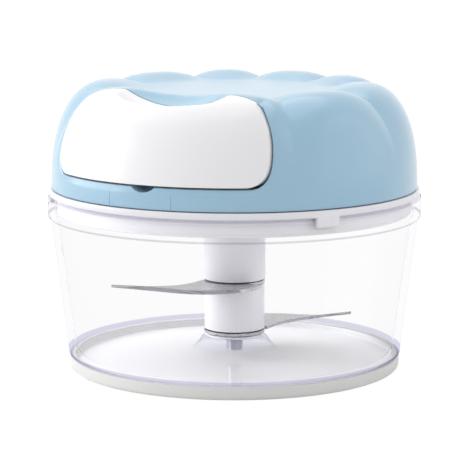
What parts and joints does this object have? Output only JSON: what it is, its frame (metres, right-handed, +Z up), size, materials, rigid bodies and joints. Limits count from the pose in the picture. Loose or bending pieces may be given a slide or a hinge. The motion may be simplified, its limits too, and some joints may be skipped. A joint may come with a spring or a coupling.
{
  "type": "hand food chopper",
  "caption": "Round hand food chopper: a clear bowl with a sickle-bladed post under a lobed lid, whose pull handle draws a cord off a sprung reel.",
  "frame": {"origin": "centre of the underside of the non-slip base, on the surface that it stands on", "axes": "+Z up along the bowl and post; the handle pulls towards -Y; +X is to the right when the handle faces the viewer"},
  "size_m": [0.1256, 0.1256, 0.0966],
  "materials": {
    "blue_plastic": "satin moulded",
    "white_plastic": "satin moulded",
    "clear_plastic": "clear polished",
    "silicone": "soft matt",
    "seal_silicone": "translucent",
    "blade_steel": "ground and polished",
    "plain_steel": "zinc plated",
    "spring_steel": "blued",
    "grey_plastic": "matt moulded",
    "cord": "braided"
  },
  "bodies": {
    "bowl": {"bowl": "clear_plastic", "non_slip_base": "silicone", "pivot_pin": "plain_steel"},
    "pin_cap": {"pin_cap": "grey_plastic"},
    "blades": {"blade_core": "white_plastic", "blade_foot": "white_plastic", "middle_sleeve": "white_plastic", "upper_sleeve": "white_plastic", "upper_blade": "blade_steel", "lower_blade": "blade_steel"},
    "lid": {"lid_base": "white_plastic", "lid_seal": "seal_silicone", "lid_cover": "blue_plastic", "lid_screw_1": "plain_steel", "lid_screw_2": "plain_steel", "lid_screw_3": "plain_steel", "lid_screw_4": "plain_steel", "spring_arbor": "plain_steel", "arbor_washer": "plain_steel", "arbor_screw": "plain_steel", "cord_guide": "grey_plastic", "cord_run": "cord"},
    "handle": {"pull_handle": "white_plastic", "handle_back": "white_plastic", "handle_screw_1": "plain_steel", "handle_screw_2": "plain_steel", "cord_stop": "plain_steel", "cord_lead": "cord"},
    "reel": {"cord_reel": "white_plastic", "cord_winding": "cord", "mainspring": "spring_steel", "spring_cover": "grey_plastic"},
    "drive": {"drive_coupling": "white_plastic", "pawl_spring_left": "spring_steel", "pawl_spring_right": "spring_steel"},
    "pawl_left": {"pawl_left": "grey_plastic"},
    "pawl_right": {"pawl_right": "grey_plastic"}
  },
  "joints": [
    {"name": "lid_lift", "type": "slide", "parent": "bowl", "child": "lid", "axis": [0, 0, 1], "range_m": [0, 0.12]},
    {"name": "blade_lift", "type": "slide", "parent": "bowl", "child": "pin_cap", "axis": [0, 0, 1], "range_m": [0, 0.061]},
    {"name": "blade_spin", "type": "hinge", "parent": "pin_cap", "child": "blades", "pos_m": [0, 0, 0.03], "axis": [0, 0, 1], "continuous": true},
    {"name": "handle_pull", "type": "slide", "parent": "lid", "child": "handle", "axis": [0, -1, 0], "range_m": [0, 0.3], "stiffness_N_per_m": 20, "springref_m": -0.05, "deforming": ["cord_lead"]},
    {"name": "reel_spin", "type": "hinge", "parent": "lid", "child": "reel", "pos_m": [0, 0, 0.074], "axis": [0, 0, 1], "range_deg": [0, 1000], "deforming": ["mainspring", "cord_winding"]},
    {"name": "drive_spin", "type": "hinge", "parent": "lid", "child": "drive", "pos_m": [0, 0, 0.06], "axis": [0, 0, 1], "continuous": true},
    {"name": "pawl_left_swing", "type": "hinge", "parent": "drive", "child": "pawl_left", "pos_m": [0.011, 0, 0.0652], "axis": [0, 0, -1], "range_deg": [0, 12], "deforming": ["pawl_spring_left"]},
    {"name": "pawl_right_swing", "type": "hinge", "parent": "drive", "child": "pawl_right", "pos_m": [-0.011, 0, 0.0652], "axis": [0, 0, -1], "range_deg": [0, 12.5], "deforming": ["pawl_spring_right"]}
  ],
  "couplings": [
    {"joint": "blade_lift", "follows": "lid_lift", "ratio": 0.5},
    {"joint": "reel_spin", "follows": "handle_pull", "rad_per_m": 58.14},
    {"joint": "drive_spin", "follows": "handle_pull", "rad_per_m": 58.14},
    {"joint": "blade_spin", "follows": "handle_pull", "rad_per_m": 58.14},
    {"joint": "pawl_right_swing", "follows": "pawl_left_swing", "ratio": 1}
  ]
}
